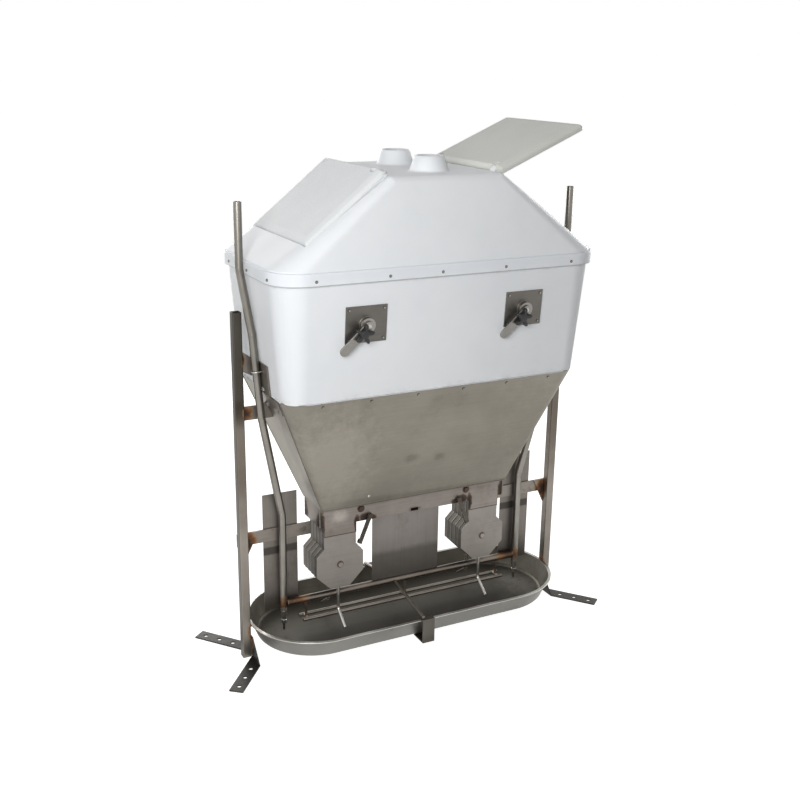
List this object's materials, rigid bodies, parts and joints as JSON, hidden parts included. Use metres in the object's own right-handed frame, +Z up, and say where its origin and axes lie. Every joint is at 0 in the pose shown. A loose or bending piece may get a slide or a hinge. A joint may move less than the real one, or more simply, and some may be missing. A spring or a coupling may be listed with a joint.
{
  "type": "pig feeder",
  "caption": "Freestanding dry feeder for pigs: white hopper with hinged hatches and feed inlets over a steel cone, rocker dispensers, oval trough and water pipes",
  "frame": {"origin": "on the floor under the middle of the trough, centre of the foot bolt holes", "axes": "+Z up, +X along the trough to the open hatch, -Y the side with the two adjusters"},
  "size_m": [1.2144, 0.4921, 1.4714],
  "materials": {
    "white_pe": "satin",
    "grey_pe": "satin",
    "stainless": "brushed",
    "bright_pipe": "polished",
    "frame_steel": "matt",
    "fastener": "satin",
    "black_knob": "gloss"
  },
  "bodies": {
    "stand": {"lid": "white_pe", "hinge_pins": "fastener", "skirt_screws": "fastener", "tub": "white_pe", "hopper_cone": "stainless", "seam_screws": "fastener", "outlet_box": "stainless", "outlet_bolts": "fastener", "centre_plate": "stainless", "left_housing": "stainless", "right_housing": "stainless", "left_covers": "stainless", "right_covers": "stainless", "pivot_bolts": "fastener", "latch_pins": "fastener", "adjuster_plates": "stainless", "plate_screws": "fastener", "left_post": "frame_steel", "right_post": "frame_steel", "left_bracket": "frame_steel", "right_bracket": "frame_steel", "bracket_bolts": "fastener", "left_lower_bar": "frame_steel", "right_lower_bar": "frame_steel", "left_end_plate": "stainless", "right_end_plate": "stainless", "left_foot_strips": "frame_steel", "right_foot_strips": "frame_steel", "trough": "stainless", "trough_hooks": "stainless", "cross_rods": "frame_steel", "left_riser": "bright_pipe", "right_riser": "bright_pipe", "water_pipe": "bright_pipe", "pipe_clamps": "frame_steel", "guard_bars": "frame_steel", "drinker_bodies": "bright_pipe"},
    "left_hatch_body": {"left_hatch": "grey_pe"},
    "right_hatch_body": {"right_hatch": "grey_pe"},
    "left_rocker_body": {"left_rocker": "stainless", "left_activators": "frame_steel"},
    "right_rocker_body": {"right_rocker": "stainless", "right_activators": "frame_steel"},
    "left_lever_body": {"left_spindle": "stainless", "left_lever": "stainless"},
    "right_lever_body": {"right_spindle": "stainless", "right_lever": "stainless"},
    "left_knob_body": {"left_knob": "black_knob"},
    "right_knob_body": {"right_knob": "black_knob"},
    "left_gate_body": {"left_gate": "stainless", "left_control_rod": "stainless"},
    "right_gate_body": {"right_gate": "stainless", "right_control_rod": "stainless"},
    "left_latch_body": {"left_latch": "frame_steel"},
    "right_latch_body": {"right_latch": "frame_steel"},
    "left_pin_body": {"left_drinker_pin": "fastener"},
    "right_pin_body": {"right_drinker_pin": "fastener"}
  },
  "joints": [
    {"name": "left_hatch_hinge", "type": "hinge", "parent": "stand", "child": "left_hatch_body", "pos_m": [-0.1727, 0, 1.3544], "axis": [0, 1, 0], "range_deg": [0, 108]},
    {"name": "right_hatch_hinge", "type": "hinge", "parent": "stand", "child": "right_hatch_body", "pos_m": [0.1727, 0, 1.3544], "axis": [0, -1, 0], "range_deg": [-62.5, 45.5]},
    {"name": "left_rocker_swing", "type": "hinge", "parent": "stand", "child": "left_rocker_body", "pos_m": [-0.234, 0, 0.252], "axis": [0, 1, 0], "range_deg": [-10, 10]},
    {"name": "left_lever_turn", "type": "hinge", "parent": "stand", "child": "left_lever_body", "pos_m": [-0.234, -0.2152, 0.989], "axis": [0, -0.9966, -0.0828], "range_deg": [-25, 25]},
    {"name": "left_knob_turn", "type": "hinge", "parent": "left_lever_body", "child": "left_knob_body", "pos_m": [-0.25155, -0.23178, 0.9712], "axis": [0, -0.9966, -0.0828], "continuous": true},
    {"name": "left_gate_slide", "type": "slide", "parent": "stand", "child": "left_gate_body", "axis": [0, 0, 1], "range_m": [-0.0118, 0.0118]},
    {"name": "left_latch_turn", "type": "hinge", "parent": "stand", "child": "left_latch_body", "pos_m": [-0.145, -0.057, 0.388], "axis": [0, -1, 0], "range_deg": [0, 80]},
    {"name": "left_drinker_push", "type": "slide", "parent": "stand", "child": "left_pin_body", "axis": [0, 0, 1], "range_m": [0, 0.004], "stiffness_N_per_m": 500, "springref_m": -0.004},
    {"name": "right_rocker_swing", "type": "hinge", "parent": "stand", "child": "right_rocker_body", "pos_m": [0.234, 0, 0.252], "axis": [0, 1, 0], "range_deg": [-10, 10]},
    {"name": "right_lever_turn", "type": "hinge", "parent": "stand", "child": "right_lever_body", "pos_m": [0.234, -0.2152, 0.989], "axis": [0, -0.9966, -0.0828], "range_deg": [-25, 25]},
    {"name": "right_knob_turn", "type": "hinge", "parent": "right_lever_body", "child": "right_knob_body", "pos_m": [0.21645, -0.23178, 0.9712], "axis": [0, -0.9966, -0.0828], "continuous": true},
    {"name": "right_gate_slide", "type": "slide", "parent": "stand", "child": "right_gate_body", "axis": [0, 0, 1], "range_m": [-0.0118, 0.0118]},
    {"name": "right_latch_turn", "type": "hinge", "parent": "stand", "child": "right_latch_body", "pos_m": [0.145, -0.057, 0.388], "axis": [0, 1, 0], "range_deg": [0, 80]},
    {"name": "right_drinker_push", "type": "slide", "parent": "stand", "child": "right_pin_body", "axis": [0, 0, 1], "range_m": [0, 0.004], "stiffness_N_per_m": 500, "springref_m": -0.004}
  ],
  "couplings": [
    {"joint": "left_gate_slide", "follows": "left_lever_turn", "m_per_rad": 0.025911},
    {"joint": "right_gate_slide", "follows": "right_lever_turn", "m_per_rad": 0.025911}
  ]
}
